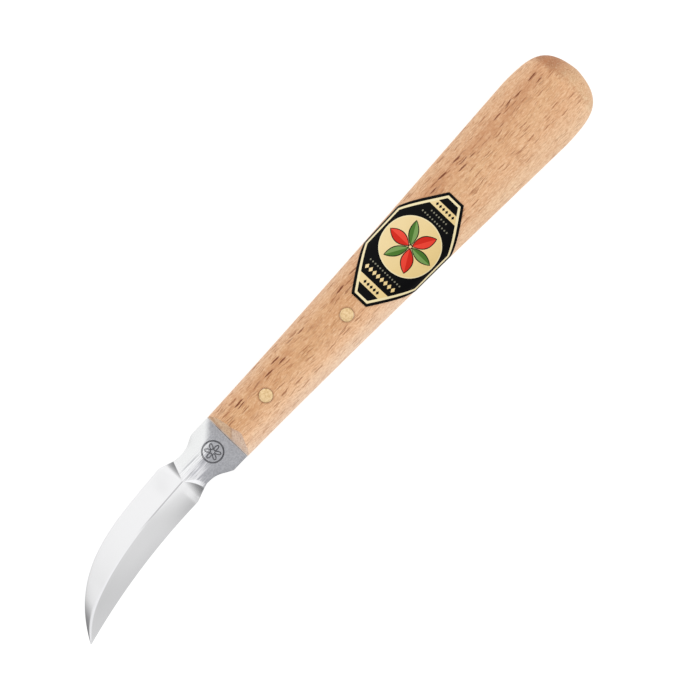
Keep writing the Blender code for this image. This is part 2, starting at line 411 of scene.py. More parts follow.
def slot_cutter():
    bm = bmesh.new()
    length = TANG_LENGTH + FIT + 2 * BLANK_NOSE
    made = bmesh.ops.create_cube(bm, size=1.0)
    bmesh.ops.scale(bm, verts=made["verts"], vec=(length, 4 * MID_Z, 2 * SLOT_HALF))
    centre = (FRONT_X - TANG_LENGTH - FIT + length / 2, 0.0, MID_Z)
    bmesh.ops.translate(bm, verts=made["verts"], vec=centre)
    return link("slot", bm)


def sanded_off(y):
    """How far short of its full depth the front bevel stops: it is sanded by hand, deepest off centre."""
    return BEVEL_SHORT * (1 - exp(-((y - BEVEL_DEEPEST_Y) / BEVEL_DEEPEST_WIDE) ** 2))


def make_handle():
    """Tapered flat oval of beech: slotted for the tang, drilled for the pins, front end bevelled."""
    shoulder = BUTT_X + 14 * MM
    crown = BUTT_X + BUTT_CROWN
    stations = list(np.linspace(FRONT_X + BLANK_NOSE, shoulder, 60))
    stations += list(np.linspace(shoulder, crown, 12))[1:]
    stations += [BUTT_X + BUTT_CROWN * (1 - sin(pi / 2 * i / 22)) for i in range(1, 23)]
    bm = bmesh.new()
    loft(bm, [handle_section(x, 18) for x in stations])
    for side in (1, -1):
        point = Vector((FRONT_X, 0.0, MID_Z + side * SLOT_HALF))
        trim(bm, point, Vector((MID_Z - SLOT_HALF, 0.0, side * BEVEL_DEPTH)))
    for vert in bm.verts:
        if vert.co.x > FRONT_X - BEVEL_DEPTH - MERGE:
            risen = (abs(vert.co.z - MID_Z) - SLOT_HALF) / (MID_Z - SLOT_HALF)
            if risen > 0:
                vert.co.x += sanded_off(vert.co.y) * risen
    handle = link("handle_beech", bm)
    carve(handle, [slot_cutter()] + hole_cutters(), 30.0)
    own(handle, "handle")
    return handle


# ---------------------------------------------------------------- blade

back_curve = curve_through(BACK_CURVE)
edge_curve = curve_through(EDGE_CURVE)
ridge_curve = curve_through(RIDGE_CURVE)
back_neck = curve_through(BACK_NECK)
edge_neck = curve_through(EDGE_NECK)


def bent(start, corner, end, steps):
    """Points of a quadratic arc, ends included."""
    points = []
    for i in range(steps + 1):
        t = i / steps
        points.append(start.lerp(corner, t).lerp(corner.lerp(end, t), t))
    return points


def face_line(ridge, end, power, near, far):
    """Points down a face, from near the ridge to near its outer end, falling as a power of the share."""
    points = []
    for i in range(FACE_STEPS + 1):
        share = near + (1 - near - far) * i / FACE_STEPS
        point = ridge.lerp(end, share)
        point.z = ridge.z + (end.z - ridge.z) * share ** power
        points.append(point)
    return points


def steel_section(edge, ridge, back, powers=(1.0, 1.0), ridge_round=RIDGE_ROUND[0]):
    """Closed section over the top and back below; each place is (x, y, half-thickness)."""
    ridge = Vector(ridge)
    faces = []
    for end, power in ((Vector(edge), powers[0]), (Vector(back), powers[1])):
        width = max((end - ridge).length, MERGE)
        rounding = min(CORNER_ROUND, 0.6 * end.z)
        near = min(ridge_round / width, 0.4)
        face = face_line(ridge, end, power, near, min(rounding / width, 0.4))
        side = Vector((end.x, end.y, end.z - rounding))
        corner = bent(face[-1], end, side, ARC_STEPS)
        faces.append(face[:-1] + corner + [Vector((end.x, end.y, 0.0))])
    crest = bent(faces[0][0], ridge, faces[1][0], 4)[1:-1]
    top = faces[0][::-1] + crest + faces[1]
    loop = top + [Vector((p.x, p.y, -p.z)) for p in reversed(top[1:-1])]
    return [Vector((FRONT_X + p.x, p.y, MID_Z + p.z)) for p in loop]


def plate_section(ahead, edge_y, back_y, crown=0.0):
    """Full thickness along the middle, and less by the crown at both sides."""
    middle = (ahead, (edge_y + back_y) / 2, STEEL_HALF)
    edge = (ahead, edge_y, STEEL_HALF - crown)
    back = (ahead, back_y, STEEL_HALF - crown)
    return steel_section(edge, middle, back, (2.0, 2.0))


def tang_sections():
    sections = []
    for ahead in np.linspace(-TANG_LENGTH, 0.0, 24):
        half = handle_half_width(FRONT_X + ahead) - TANG_INSET
        sections.append(plate_section(ahead, half, -half))
    return sections


def neck_sections():
    """The shoulder and the neck, polished to a slight crown towards the blade."""
    sections = []
    for ahead in np.linspace(0.3 * MM, EDGE_NECK[-1][0] * MM, 42):
        crown = NECK_CROWN * smooth_step(1 * MM, 8 * MM, ahead)
        edge_y, back_y = read_curve(edge_neck, ahead), read_curve(back_neck, ahead)
        sections.append(plate_section(ahead, edge_y, back_y, crown))
    return sections


def plunge_sections():
    """The hollow wall where the grind starts, from full thickness down to the bevels."""
    crowned = STEEL_HALF - NECK_CROWN
    ridge = Vector((RIDGE_CURVE[0][0] * MM, RIDGE_CURVE[0][1] * MM, STEEL_HALF))
    neck_edge = Vector((EDGE_CORNER[0] * MM, EDGE_CORNER[1] * MM, crowned))
    neck_back = Vector((BACK_CORNER[0] * MM, BACK_CORNER[1] * MM, crowned))
    blade_edge = Vector((EDGE_CURVE[0][0] * MM, EDGE_CURVE[0][1] * MM, 0.0))
    blade_back = Vector((BACK_CURVE[0][0] * MM, BACK_CURVE[0][1] * MM, SPINE_HALF))
    sections = []
    fine = [0.02 * i for i in range(5)]
    for along in fine + list(np.linspace(0.1, 1.0, 31)):
        eased = along ** 2 / (2 * PLUNGE_EASE) if along < PLUNGE_EASE else along - PLUNGE_EASE / 2
        ends = []
        for start, end, foot in zip((neck_edge, neck_back), (blade_edge, blade_back), PLUNGE_FOOT):
            settled = min(eased / (foot - PLUNGE_EASE / 2), 1.0)
            point = start.lerp(end, along)
            point.z = start.z + (end.z - start.z) * (1 - (1 - settled) ** 2)
            ends.append(point)
        section = steel_section(ends[0], ridge, ends[1], (PLUNGE_POWER, PLUNGE_POWER))
        for point in section:
            across = min(max((point.y - ridge.y) / (ends[0].y - ridge.y), 0.0), 1.0)
            point.x -= 4 * PLUNGE_BOW * (1 - along) * across * (1 - across)
        sections.append(section)
    return sections


def ground_sections():
    """The diamond section, tapering from the plunge to the tip, its back face rounded off at the end."""
    start = RIDGE_CURVE[0][0] * MM
    length = TIP_X - FRONT_X - start
    sections = []
    for share in np.linspace(0.0, 1.0, 121):
        ahead = start + length * (1 - (1 - share) ** TIP_CROWDING)
        if ahead < BACK_CURVE[0][0] * MM + 0.4 * MM:
            continue
        left = 1 - ((ahead - start) / length) ** TAPER_POWER
        edge = (ahead, read_curve(edge_curve, ahead), 0.0)
        ridge = (ahead, read_curve(ridge_curve, ahead), STEEL_HALF * left)
        back = (ahead, read_curve(back_curve, ahead), SPINE_HALF * left)
        widen = smooth_step(24 * MM, 44 * MM, ahead)
        ridge_round = RIDGE_ROUND[0] + (RIDGE_ROUND[1] - RIDGE_ROUND[0]) * widen
        edge_power, back_power = (
            PLUNGE_POWER + (1 - PLUNGE_POWER) * smooth_step(start, end, ahead) for end in HOLLOW_END
        )
        back_power += TIP_ROUND * smooth_step(TIP_ROUND_START, TIP_ROUND_START + TIP_ROUND_LENGTH, ahead)
        sections.append(steel_section(edge, ridge, back, (edge_power, back_power), ridge_round))
    return sections


def groove(name, place, long_half, wide_half, tube, around):
    """A round-bottomed ring groove, as a cutter: an ellipse laid in the plane of a placed frame."""
    about = 8
    bm = bmesh.new()
    rings = []
    for i in range(around):
        turn = 2 * pi * i / around
        spine = Vector((long_half * cos(turn), wide_half * sin(turn), 0.0))
        out = Vector((wide_half * cos(turn), long_half * sin(turn), 0.0)).normalized()
        ring = []
        for j in range(about):
            roll = 2 * pi * (j + 0.5) / about
            spot = spine + out * tube * cos(roll) + Vector((0.0, 0.0, tube * sin(roll)))
            ring.append(bm.verts.new(place @ spot))
        rings.append(ring)
    for ring, following in zip(rings, rings[1:] + rings[:1]):
        for j in range(about):
            k = (j + 1) % about
            bm.faces.new((ring[j], following[j], following[k], ring[k]))
    return link(name, bm)


def mark_cutters():
    """A generic struck mark: a ring round a six-petal rosette, in line grooves."""
    surface = MID_Z + STEEL_HALF - 0.02 * MM
    centre = Matrix.Translation((FRONT_X + MARK_AT[0], MARK_AT[1], surface))
    cutters = [groove("mark_ring", centre, MARK_RADIUS, MARK_RADIUS, 0.2 * MM, 64)]
    for i in range(6):
        turn = Matrix.Rotation(pi / 3 * i, 4, "Z")
        place = centre @ turn @ Matrix.Translation((1.15 * MM, 0.0, 0.0))
        cutters.append(groove(f"mark_petal_{i}", place, 0.68 * MM, 0.34 * MM, 0.14 * MM, 24))
    return cutters


def make_blade():
    """One forging: tang, shoulder, neck, plunge and ground blade."""
    bm = bmesh.new()
    loft(bm, tang_sections() + neck_sections() + plunge_sections() + ground_sections())
    blade = link("blade_steel", bm)
    carve(blade, hole_cutters() + mark_cutters(), 32.0)
    own(blade, "blade")
    return blade


# ---------------------------------------------------------------- pins

def make_pin(node):
    """A brass pin, its ends slightly domed by the hammer and rounded at the rim."""
    centre = pin_centre(node)
    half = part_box(node)[1].z - centre.z
    flat = PIN_RADIUS - PIN_RIM
    low_half = half - PIN_DOME
    profile = [(0.0, half), (0.5 * PIN_RADIUS, half - 0.3 * PIN_DOME), (flat, low_half)]
    for i in (1, 2, 3, 4):
        turn = pi / 8 * i
        profile.append((flat + PIN_RIM * sin(turn), low_half - PIN_RIM * (1 - cos(turn))))
    profile += [(radius, -height) for radius, height in reversed(profile)]
    bm = bmesh.new()
    verts = [bm.verts.new(centre + Vector((radius, 0.0, height))) for radius, height in profile]
    edges = [bm.edges.new(pair) for pair in zip(verts, verts[1:])]
    bmesh.ops.spin(
        bm, geom=verts + edges, cent=centre, axis=(0, 0, 1), angle=2 * pi, steps=56, use_merge=True
    )
    pin = link(f"{node}_brass", bm, 40.0)
    own(pin, node)
    return pin


# ---------------------------------------------------------------- label

LABEL_GLUE = 0.05 * MM
LABEL_THICKNESS = 0.12 * MM

# The flat label's drawing, in millimetres: u along the knife, v across
LABEL_SHIFT = 0.3
LABEL_SKEW = 0.0095
HALF_LENGTH, HALF_WIDTH = 15.4, 8.8
SHOULDER, END_HALF = 5.4, 2.17
BORDER, LINE = 0.65, 0.53
DISC = (-0.8, 0.0, 6.95)
DISC_RIM = 0.22
BAR_FRONT = (10.45, 12.3)
BAR_REAR = (-12.55, -10.85)
INKS = ("black", "pale", "cream", "red", "dark_red", "green", "dark_green", "grey")

slant = Vector((HALF_WIDTH - END_HALF, HALF_LENGTH - SHOULDER)).normalized()
slant_reach = slant.x * HALF_LENGTH + slant.y * END_HALF


def inset(u, v):
    """Distance in from the octagon's border."""
    u, v = abs(u), abs(v)
    return min(HALF_LENGTH - u, HALF_WIDTH - v, slant_reach - slant.x * u - slant.y * v)


def octagon(distance):
    """The octagon drawn in by a distance, as a closed outline."""
    length, width, reach = HALF_LENGTH - distance, HALF_WIDTH - distance, slant_reach - distance
    end = (reach - slant.x * length) / slant.y
    shoulder = (reach - slant.y * width) / slant.x
    corner = [(length, end), (shoulder, width)]
    return (
        corner
        + [(-u, v) for u, v in reversed(corner)]
        + [(-u, -v) for u, v in corner]
        + [(u, -v) for u, v in reversed(corner)]
    )


def petal(turn, length, width, start, sides=(1, -1)):
    """A pointed petal from near the disc's centre outwards, or one half of it, as an outline."""
    points = []
    steps = 14
    for side, bulge in zip((1, -1), sides):
        for i in range(steps):
            t = i / steps if side > 0 else 1 - i / steps
            along = start + length * t
            across = bulge * width / 2 * sin(pi * t) ** 0.85
            u = DISC[0] + along * cos(turn) - across * sin(turn)
            v = DISC[1] + along * sin(turn) + across * cos(turn)
            points.append((u, v))
    return points


def lozenge(u, v, half_u, half_v):
    return [(u + half_u, v), (u, v + half_v), (u - half_u, v), (u, v - half_v)]


def circle(u, v, radius, steps):
    turns = [2 * pi * i / steps for i in range(steps)]
    return [(u + radius * cos(turn), v + radius * sin(turn)) for turn in turns]


def bar(near, far):
    """The piece of the inner octagon between two distances along it."""
    edge = BORDER + LINE
    halves = []
    for u in (near, far):
        halves.append(min(HALF_WIDTH - edge, (slant_reach - edge - slant.x * abs(u)) / slant.y))
    return [(near, -halves[0]), (near, halves[0]), (far, halves[1]), (far, -halves[1])]


def row(u, count, step, half_u, half_v, ink):
    """A row of small lozenges across the label."""
    return [(lozenge(u, step * (i - (count - 1) / 2), half_u, half_v), ink) for i in range(count)]


def print_shapes():
    """(outline, ink) for each printed shape, from the bottom ink to the top one."""
    shapes = [(octagon(BORDER), "pale"), (octagon(BORDER + LINE), "black")]
    shapes += [(bar(*BAR_FRONT), "cream"), (bar(*BAR_REAR), "cream")]
    shapes.append((circle(*DISC, 96), "pale"))
    shapes.append((circle(DISC[0], DISC[1], DISC[2] - DISC_RIM, 96), "cream"))
    for i in range(6):
        turn = pi / 6 + pi / 3 * i
        wide = i % 2 == 0
        ink = "red" if wide else "green"
        outer, inner = (2.9, 2.45) if wide else (2.3, 1.85)
        shapes.append((petal(turn, 5.8, outer, 0.3), "black"))
        shapes.append((petal(turn, 5.3, inner, 0.55), ink))
        shapes.append((petal(turn, 5.3, inner, 0.55, (1, 0)), f"dark_{ink}"))
    shapes.append((circle(DISC[0], DISC[1], 0.55, 20), "black"))
    shapes.append((circle(DISC[0], DISC[1], 0.33, 16), "cream"))
    shapes += row(8.7, 8, 1.1, 0.68, 0.44, "cream")
    shapes += row(7.1, 13, 0.72, 0.26, 0.2, "grey")
    shapes += row(-8.5, 11, 0.72, 0.26, 0.2, "grey")
    shapes += row(-9.8, 7, 0.72, 0.26, 0.2, "grey")
    shapes += row(11.45, 5, 0.92, 0.5, 0.36, "black")
    shapes += row(-11.75, 6, 0.92, 0.46, 0.34, "black")
    return shapes


def inside(outline, u, v):
    """Whether a point is inside a closed outline, by counting crossings."""
    found = False
    previous = outline[-1]
    for current in outline:
        (u0, v0), (u1, v1) = previous, current
        if (v1 > v) != (v0 > v):
            found ^= u < u1 + (v - v1) * (u0 - u1) / (v0 - v1)
        previous = current
    return found


def divided(outline, most):
    """The outline with its long sides cut into steps, so that it can bend."""
    points = []
    for (u0, v0), (u1, v1) in zip(outline, outline[1:] + outline[:1]):
        count = max(1, round(hypot(u1 - u0, v1 - v0) / most))
        points += [(u0 + (u1 - u0) * i / count, v0 + (v1 - v0) * i / count) for i in range(count)]
    return points


def make_label():
    """The printed foil: cut along each ink's outline while flat, then wrapped over the handle."""
    shapes = print_shapes()
    points, edges = [], []
    for outline in [octagon(0.0)] + [shape for shape, _ in shapes]:
        cut = divided(outline, 0.6)
        first = len(points)
        points += [Vector(point) for point in cut]
        edges += [(first + i, first + (i + 1) % len(cut)) for i in range(len(cut))]
    for u in np.arange(-HALF_LENGTH, HALF_LENGTH, 0.62):
        for v in np.arange(-HALF_WIDTH, HALF_WIDTH, 0.62):
            if inset(u, v) > 0.2:
                points.append(Vector((float(u), float(v))))
    flat, _, faces, *_ = delaunay_2d_cdt(points, edges, [], 0, 1e-4)
    bm = bmesh.new()
    verts = []
    for u, v in flat:
        point, outward = handle_skin(LABEL_X + u * MM, (v + LABEL_SHIFT - LABEL_SKEW * u) * MM)
        verts.append(bm.verts.new(point + outward * (LABEL_GLUE + LABEL_THICKNESS)))
    for corners in faces:
        face = bm.faces.new([verts[i] for i in corners])
        u = sum(flat[i].x for i in corners) / len(corners)
        v = sum(flat[i].y for i in corners) / len(corners)
        ink = "black"
        for outline, colour in shapes:
            if inside(outline, u, v):
                ink = colour
        face.material_index = INKS.index(ink)
    label = link("label_print", bm, 60.0)
    if sum(face.normal.z for face in label.data.polygons) < 0:
        label.data.flip_normals()
    solidify = label.modifiers.new("thickness", "SOLIDIFY")
    solidify.thickness = LABEL_THICKNESS
    solidify.offset = -1.0
    own(label, "label")
    return label


# ---------------------------------------------------------------- materials

def paint(red, green, blue):
    """The linear colour of an sRGB one given from 0 to 255."""
    return tuple(((c / 255 + 0.055) / 1.055) ** 2.4 for c in (red, green, blue))


def edge_wall(g, x, y):
    """Share of the way from the ridge to the edge, and distance past the bowed start of the edge's wall."""
    ridge_x, ridge_y = RIDGE_CURVE[0]
    share = g.math("DIVIDE", g.add(y, -ridge_y), EDGE_CORNER[1] - ridge_y, clamp=True)
    sag = g.times(share, g.math("SUBTRACT", 1.0, share), 4 * PLUNGE_BOW / MM)
    start = g.add(ridge_x, g.times(share, EDGE_CORNER[0] - ridge_x), g.times(sag, -1.0))
    return share, g.math("SUBTRACT", x, start)


def grind(g, x, y, past):
    """1 past the start of the grind, on either side of the ridge, and 0 on the neck."""
    slope = (RIDGE_CURVE[0][0] - BACK_CORNER[0]) / (RIDGE_CURVE[0][1] - BACK_CORNER[1])
    back_start = g.add(BACK_CORNER[0], g.times(g.add(y, -BACK_CORNER[1]), slope))
    on_edge_side = g.add(past, g.times(g.fade(y, 0.0, -0.4), 9.0))
    on_back_side = g.add(g.math("SUBTRACT", x, back_start), g.times(g.fade(y, -0.4, 0.0), 9.0))
    return g.fade(g.math("MINIMUM", on_edge_side, on_back_side), -0.06, 0.06)


def shoulder_colour(g, x, cloud):
    """Dull and speckled, with a lighter strip painted along the wood to offset the shade in the joint."""
    speckle = g.fade(g.noise((2.6, 2.6, 2.6), 2.0, 0.6), 0.36, 0.64)
    mottle = g.add(g.times(cloud, 0.6), g.times(speckle, 0.4))
    dull = g.blend(mottle, paint(152, 153, 158), paint(192, 193, 197))
    # Painted light: a lighter strip along the wood cancels the shade in the joint's crease.
    return g.blend(g.fade(x, 0.4, 0.0, 0.0, 0.6), dull, paint(206, 204, 204))


def neck_colour(g, x, y, share, past):
    """Tones across the neck, partly painted reflection and partly grinding streaks, scored lengthwise, with
    a painted highlight as a bright rim where the edge's grind starts.
    """
    # Partly grinding streaks, partly painted reflection: a dark line along the middle and a lighter back's
    # side.
    across = g.math("DIVIDE", g.add(y, 5.0), 10.0, clamp=True)
    neck = g.ramp(across, (
        (0.3, paint(222, 223, 223)), (0.42, paint(215, 215, 217)), (0.52, paint(176, 176, 181)),
        (0.6, paint(215, 215, 217)), (0.68, paint(194, 194, 198)), (0.76, paint(202, 202, 205)),
        (0.84, paint(190, 190, 195)),
    ))
    scratches = g.noise((0.14, 4.0, 4.0), 3.0, 0.6)
    scored = g.fade(y, -3.0, -1.4)
    neck = g.blend(g.times(scored, g.fade(scratches, 0.5, 0.64), 0.7), neck, paint(134, 135, 142))
    neck = g.blend(g.times(scored, g.fade(scratches, 0.46, 0.34), 0.8), neck, paint(234, 234, 236))
    # Painted highlight: the neck pales towards the plunge, and a bright rim lies where the edge's grind
    # starts.
    neck = g.blend(g.fade(x, 11.0, 12.8, 0.0, 0.6), neck, paint(228, 228, 229))
    width = g.add(0.35, g.fade(share, 0.05, 0.45, 0.0, 0.6))
    rim = g.times(g.fade(g.math("DIVIDE", past, width), -1.2, -0.8), g.fade(share, 0.02, 0.1))
    return g.blend(rim, neck, paint(232, 232, 234))


def bevel_colour(g, x, y):
    """Bevels that darken towards the tip and in the wall where they start, and the edge's one outwards; the
    dark near the tip and in the walls is painted shade, and the crest and a band past the wall carry
    painted highlights.
    """
    facing = g.axis(g.normal, "Y")
    edge_side = g.fade(facing, -0.03, 0.05)
    bevel = g.blend(g.times(edge_side, g.fade(x, 30.0, 49.0)), paint(225, 225, 226), paint(181, 181, 182))
    outward = g.times(edge_side, g.fade(g.add(y, g.times(x, -0.06)), 1.0, 5.0), g.fade(x, 20.0, 30.0))
    bevel = g.blend(g.times(outward, 0.7), bevel, paint(196, 196, 197))
    bevel = g.blend(g.times(edge_side, g.fade(x, 14.0, 17.0), 0.5), bevel, paint(216, 216, 217))
    # Painted reflection: the back bevel darkens near the tip as if it reflected something dark.
    tip = g.times(g.fade(x, 46.4, 50.8), g.fade(facing, -0.05, -0.15))
    bevel = g.blend(tip, bevel, paint(160, 160, 162))
    # Painted highlight along the rounded crest of the ridge.
    crest = g.times(g.fade(g.axis(g.normal, "Z"), 0.984, 0.996), g.fade(x, 25.0, 32.0))
    bevel = g.blend(crest, bevel, paint(226, 226, 228))

    # Painted shade: a dark hairline follows the ridge; and a painted highlight: a light band crosses the
    # edge's bevel past the wall.
    off_ridge = g.math("ABSOLUTE", g.add(y, 1.02, g.times(x, -0.044)))
    hairline = g.times(g.fade(off_ridge, 0.2, 0.08), g.fade(x, 13.4, 14.2), g.fade(x, 30.0, 22.0))
    bevel = g.blend(g.times(hairline, 0.65), bevel, paint(150, 150, 152))
    light = g.times(g.fade(x, 13.5, 14.2), g.fade(x, 15.9, 15.0), g.fade(y, 0.2, 3.6))
    bevel = g.blend(light, bevel, paint(246, 246, 247))
    # Painted shade in the plunge walls, darkest on the back's side at its foot.
    bevel = g.blend(g.fade(x, 14.2, 12.2, 0.0, 0.6), bevel, paint(150, 150, 152))
    back_foot = g.times(g.fade(x, 14.1, 13.3, 0.0, 0.5), g.fade(y, -0.7, -1.5))
    return g.blend(back_foot, bevel, paint(150, 150, 152))


def struck_mark(g, x, y, z):
    """1 in the grooves of the struck mark, below the steel's crowned top, and 0 elsewhere."""
    near = g.fade(g.away(x, y, (MARK_AT[0] / MM, MARK_AT[1] / MM)), 3.0, 2.7)
    crown = g.times(g.fade(x, 1.0, 8.0, 0.0, NECK_CROWN / MM), g.times(y, y), 1 / 25)
    sunk = g.add((MID_Z + STEEL_HALF) / MM, g.times(z, -1.0), g.times(crown, -1.0))
    upper_half = g.fade(z, MID_Z / MM, MID_Z / MM + 1.0)
    return g.times(near, g.fade(sunk, 0.03, 0.09), upper_half)


def steel_material():
    """Dull grey shoulder with a dark struck mark, streaks where the wheel ran out, polished blade; the
    polished parts carry painted reflections and highlights.
    """
    g = Graph("ground_steel")
    x = g.math("SUBTRACT", g.axis(g.mm, "X"), FRONT_X / MM)
    y, z = g.axis(g.mm, "Y"), g.axis(g.mm, "Z")
    cloud = g.noise((0.5, 0.5, 0.5), 3.0, 0.6)
    lines = g.noise((0.12, 3.2, 3.2), 3.0, 0.6)
    share, past = edge_wall(g, x, y)
    shiny = g.blend(grind(g, x, y, past), neck_colour(g, x, y, share, past), bevel_colour(g, x, y))

    # The wheel has polished the neck up to a slanting line, which is streaky away from the back.
    streaky = g.fade(y, -3.6, -1.6)
    uneven = g.times(g.math("SUBTRACT", lines, 0.5), g.add(2.0, g.times(streaky, 11.0)))
    polished = g.fade(g.add(x, g.times(y, -1.2), uneven), 5.4, 8.4)
    colour = g.blend(polished, shoulder_colour(g, x, cloud), shiny)
    struck = struck_mark(g, x, y, z)
    colour = g.blend(g.times(struck, 0.55), colour, paint(84, 84, 90))
    rough = g.add(0.5, g.times(polished, -0.32), g.times(cloud, 0.06), g.times(struck, 0.2))
    g.set(Base_Color=colour, Metallic=1.0, Roughness=rough)
    grain = g.noise((9.0, 0.6, 9.0), 2.0, 0.6)
    g.bump(g.add(g.times(grain, 0.4), g.times(lines, 0.6)), 0.004 * MM, 0.5)
    return g.material


def beech_tones(g, lane, behind):
    """Tones across the handle, from the back's side to the edge's, in front and at the rear."""
    front = g.ramp(lane, (
        (0.03, paint(222, 184, 150)), (0.22, paint(218, 171, 126)), (0.5, paint(214, 166, 120)),
        (0.74, paint(239, 196, 156)), (0.95, paint(245, 216, 188)),
    ))
    rear = g.ramp(lane, (
        (0.03, paint(222, 182, 144)), (0.22, paint(215, 165, 123)), (0.45, paint(221, 175, 131)),
        (0.7, paint(228, 182, 140)), (0.93, paint(240, 204, 167)),
    ))
    return g.blend(g.fade(behind, 40.0, 75.0), front, rear)


def beech_ends(g, base, normal_x, y, behind):
    """The front bevel, painted lighter as two sanded facets lit differently, with painted shade along the
    slanting seam where they meet, and the darker butt end.
    """
    front = g.fade(normal_x, 0.3, 0.8)
    # Painted light: the front bevel is painted lighter, as two facets lit differently, with painted shade
    # along the crease where they meet.
    seam = g.add(y, g.times(behind, 0.9), -1.1)
    painted_facets = g.blend(g.fade(seam, -0.3, 0.3), paint(250, 217, 182), paint(253, 228, 208))
    seam_shade = g.fade(g.math("ABSOLUTE", seam), 0.3, 0.08, 0.0, 0.55)
    painted_facets = g.blend(seam_shade, painted_facets, paint(196, 150, 116))
    off_corner = g.fade(g.add(y, g.times(behind, 2.1)), -3.5, -2.7)
    base = g.blend(g.times(front, 0.85, off_corner), base, painted_facets)
    # Painted light: the bevel is lighter still next to the steel, offsetting the shade in the joint.
    base = g.blend(g.times(front, g.fade(behind, 0.4, 0.0)), base, paint(250, 240, 232))
    butt = g.fade(normal_x, -0.12, -0.6)
    base = g.blend(g.times(butt, g.fade(y, 2.5, -5.0)), base, paint(150, 98, 62))
    return g.blend(g.times(butt, g.fade(y, -6.5, 1.0), 0.5), base, paint(190, 164, 128))


def beech_dashes(g, space, scale, radius, share, solid=0.4):
    """Rays of the wood, which a face cuts into short dashes along the grain."""
    distance, random = g.cells(g.scaled(space, scale))
    chosen = g.fade(g.axis(random, "X"), 1 - share, 1 - 0.6 * share)
    return g.times(g.fade(distance, radius, solid * radius), chosen)


def beech_material():
    """Beech: tone bands along the handle, wavy fibres, and dark dashes, boldest in one band."""
    g = Graph("beech")
    x, y, z = (g.axis(g.mm, name) for name in ("X", "Y", "Z"))
    normal_x = g.axis(g.normal, "X")
    behind = g.math("SUBTRACT", FRONT_X / MM, x)
    slow, quick, wobble = (
        g.math("SUBTRACT", g.noise(scales), 0.5)
        for scales in ((0.07, 0.12, 0.12), (0.3, 0.5, 0.5), (0.9, 1.3, 1.3))
    )
    space = g.combine(x, g.add(y, g.times(slow, 2.2), g.times(quick, 0.65), g.times(wobble, 0.3)), z)
    half_width = g.add(SIDE_RUN[0][1], g.times(behind, 0.037))
    lane = g.add(0.5, g.times(g.math("DIVIDE", g.add(y, g.times(slow, 1.5)), half_width), 0.5))
    base = beech_ends(g, beech_tones(g, lane, behind), normal_x, y, behind)

    # Soft grain: redder patches, then long fibres and short specks, both of them dark and pale.
    patch = g.noise((0.1, 0.5, 0.5), 3.0, 0.6)
    base = g.blend(g.times(g.fade(patch, 0.35, 0.7), 0.3), base, paint(214, 156, 112))
    fibre = g.noise((0.6, 4.5, 4.5), 4.0, 0.75, space)
    base = g.blend(g.times(g.fade(fibre, 0.46, 0.7), 0.42), base, paint(180, 118, 72))
    base = g.blend(g.times(g.fade(fibre, 0.5, 0.3), 0.36), base, paint(248, 216, 180))
    speck = g.noise((1.5, 3.4, 3.4), 2.0, 0.6)
    base = g.blend(g.times(g.fade(speck, 0.48, 0.62), 0.24), base, paint(184, 120, 78))
    base = g.blend(g.times(g.fade(speck, 0.46, 0.34), 0.2), base, paint(250, 220, 186))

    # Dashes in four sizes: the two larger ones stay off the ends, and the bold ones mostly in one band.
    fine = beech_dashes(g, space, (0.5, 4.2, 0.9), 0.36, 0.8)
    crisp = beech_dashes(g, g.moved(space, (3.0, 8.0, 2.0)), (0.36, 5.0, 1.0), 0.4, 0.7)
    medium = beech_dashes(g, space, (0.22, 2.7, 0.55), 0.36, 0.62, 0.6)
    bold = beech_dashes(g, g.moved(space, (7.0, 3.0, 1.0)), (0.24, 1.7, 0.4), 0.41, 0.6, 0.55)
    band = g.times(g.fade(lane, 0.12, 0.19), g.fade(lane, 0.36, 0.28))
    flank = g.times(g.fade(normal_x, 0.5, 0.3), g.fade(normal_x, -0.5, -0.2))
    open_grain = g.fade(lane, 0.95, 0.7, 0.45, 1.0)
    base = g.blend(g.times(band, g.fade(patch, 0.4, 0.6), 0.3), base, paint(168, 106, 64))
    base = g.blend(g.times(fine, open_grain, 0.38), base, paint(164, 104, 64))
    base = g.blend(g.times(crisp, open_grain, 0.52), base, paint(156, 96, 58))
    base = g.blend(g.times(medium, open_grain, flank, 0.72), base, paint(150, 90, 52))
    base = g.blend(g.times(bold, flank, g.add(0.08, g.times(band, 0.92))), base, paint(122, 64, 32))

    # The wood is browner close round each pin.
    for node in PIN_NODES:
        from_pin = g.away(x, y, pin_centre(node) / MM)
        base = g.blend(g.fade(from_pin, 2.1, 1.6, 0.0, 0.45), base, paint(140, 88, 54))
    g.set(Base_Color=base, Roughness=g.add(0.5, g.times(fibre, 0.15)), Specular_IOR_Level=0.35)
    dents = g.add(g.times(crisp, 0.4), g.times(medium, 0.5), g.times(bold, 0.7))
    relief = g.add(g.times(fibre, 0.5), g.times(speck, 0.2), g.times(dents, -1.0))
    g.bump(relief, 0.05 * MM, 0.8)
    return g.material


def brass_material():
    """Sanded brass, mottled and finely scratched along the handle."""
    g = Graph("brass")
    cloud = g.fade(g.noise((2.4, 2.4, 2.4), 3.0, 0.7), 0.3, 0.7)
    scratches = g.noise((0.8, 14.0, 14.0), 2.0, 0.6)
    colour = g.blend(cloud, paint(212, 179, 130), paint(240, 212, 167))
    g.set(Base_Color=colour, Metallic=1.0, Roughness=g.add(0.38, g.times(scratches, 0.16)))
    g.bump(scratches, 0.004 * MM, 0.5)
    return g.material


def ink_material(name, first, second):
    """A printed ink, paling from its first colour to its second towards the back's side as a painted sheen,
    and mottled a little at random.
    """
    g = Graph(f"ink_{name}")
    cloud = g.noise((0.4, 0.4, 0.4), 3.0, 0.6)
    grain = g.noise((7.0, 7.0, 7.0), 2.0, 0.6)
    # Painted sheen: the ink pales towards the back's side.
    paler = g.fade(g.axis(g.mm, "Y"), 7.0, -7.0, 0.0, 0.6)
    paler = g.add(paler, g.times(cloud, 0.25), g.times(grain, 0.15))
    colour = g.blend(paler, paint(*first), paint(*second))
    g.set(Base_Color=colour, Roughness=g.add(0.28, g.times(cloud, 0.12)), Specular_IOR_Level=0.06)
    g.bump(g.add(cloud, g.times(grain, 0.2)), 0.02 * MM, 0.4)
    return g.material


